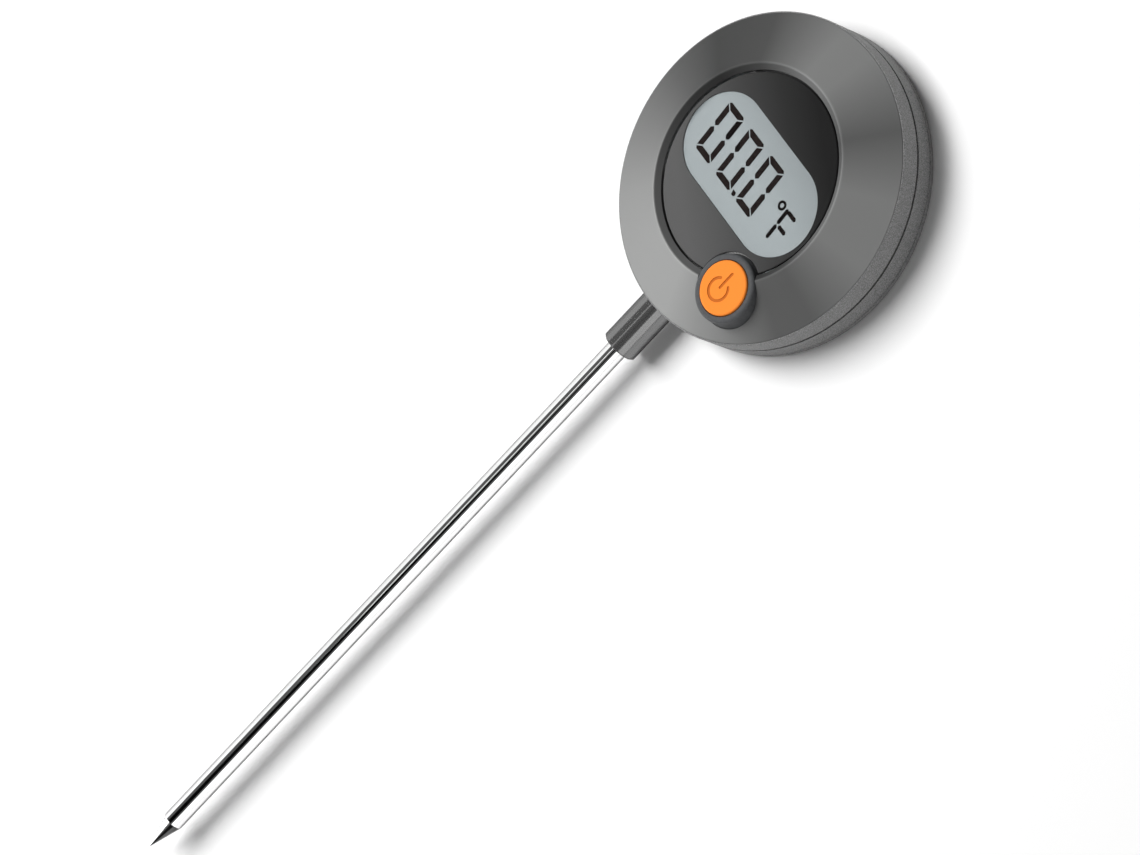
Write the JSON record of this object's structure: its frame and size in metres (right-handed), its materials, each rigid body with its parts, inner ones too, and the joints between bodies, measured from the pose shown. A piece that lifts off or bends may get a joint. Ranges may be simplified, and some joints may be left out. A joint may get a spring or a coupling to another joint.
{
  "type": "soil thermometer probe",
  "caption": "Digital soil thermometer with a round display head, an orange power key, a turned neck and a straight pointed stainless probe.",
  "frame": {"origin": "stem root: on the probe's axis, where the probe leaves the neck's end face", "axes": "-Y along the probe to its point; +Z the way the display faces, so the thermometer lies on its back; +X the way the display reads, left to right; the head is centred on +Y"},
  "size_m": [0.058, 0.1958, 0.0137],
  "materials": {
    "bezel_satin": "dark satin anodised, spun round the window",
    "shell_grey": "fine spark-eroded texture",
    "foot_grey": "fine matt",
    "collar_grey": "satin moulded",
    "fascia_gloss": "gloss, dark",
    "clear_window": "polished clear plastic",
    "black_tape": "foam tape",
    "polariser_film": "satin film",
    "display_glass": "polished",
    "display_ink": "dark liquid-crystal segments",
    "display_reflector": "satin grey reflector",
    "strip_rubber": "layered conducting rubber",
    "frame_white": "moulded",
    "seal_rubber": "smooth black",
    "key_orange": "fine satin",
    "carbon_rubber": "matt carbon",
    "boot_silicone": "translucent silicone",
    "gold_plate": "gold flash",
    "board_green": "solder mask",
    "chip_resin": "poured resin",
    "ceramic_chips": "ceramic",
    "bright_tin": "tinned can",
    "cell_steel": "nickel-plated",
    "spring_steel": "rolled strip",
    "cap_grey": "fine spark-eroded texture",
    "screw_steel": "zinc-plated",
    "probe_steel": "bright polished stainless steel",
    "tip_steel": "ground",
    "neck_steel": "dark plated, turned",
    "bead_glass": "glazed bead",
    "lead_wire": "enamel over copper",
    "solder_tin": "bright",
    "thermal_resin": "filled resin",
    "sleeve_plastic": "slippery translucent plastic"
  },
  "bodies": {
    "head": {"bezel_ring": "bezel_satin", "front_shell": "shell_grey", "rear_shell": "shell_grey", "foot_ring": "foot_grey", "button_collar": "collar_grey", "fascia_plate": "fascia_gloss", "window_lens": "clear_window", "lens_tape": "black_tape", "lcd_polariser": "polariser_film", "lcd_front_glass": "display_glass", "lcd_segments": "display_ink", "lcd_rear_glass": "display_glass", "lcd_reflector": "display_reflector", "zebra_strips": "strip_rubber", "lcd_frame": "frame_white", "shell_gasket": "seal_rubber", "button_boot": "boot_silicone", "key_contacts": "gold_plate", "circuit_board": "board_green", "chip_cover": "chip_resin", "board_components": "ceramic_chips", "crystal": "bright_tin", "coin_cell": "cell_steel", "negative_contact": "spring_steel", "positive_contact": "spring_steel", "case_screws": "screw_steel", "board_screws": "screw_steel", "stem_tube": "probe_steel", "stem_tip": "tip_steel", "neck": "neck_steel", "retaining_ring": "spring_steel", "thermistor": "bead_glass", "sensor_leads": "lead_wire", "lead_solder": "solder_tin", "potting": "thermal_resin", "lead_sleeve": "sleeve_plastic"},
    "button": {"button_cap": "key_orange", "contact_pill": "carbon_rubber"},
    "seal_ring": {"cap_seal": "seal_rubber"},
    "battery_cap": {"battery_cap": "cap_grey"}
  },
  "joints": [
    {"name": "key_press", "type": "slide", "parent": "head", "child": "button", "axis": [0, 0, -1], "range_m": [0, 0.0006], "stiffness_N_per_m": 3300, "deforming": ["button_boot"]},
    {"name": "cap_lift", "type": "slide", "parent": "head", "child": "seal_ring", "axis": [0, 0, -1], "range_m": [0, 0.00165]},
    {"name": "cap_twist", "type": "hinge", "parent": "seal_ring", "child": "battery_cap", "pos_m": [0, 0.0398, 0], "axis": [0, 0, -1], "range_deg": [0, 60.5]}
  ],
  "couplings": [
    {"joint": "cap_twist", "follows": "cap_lift", "rad_per_m": 634.67}
  ]
}
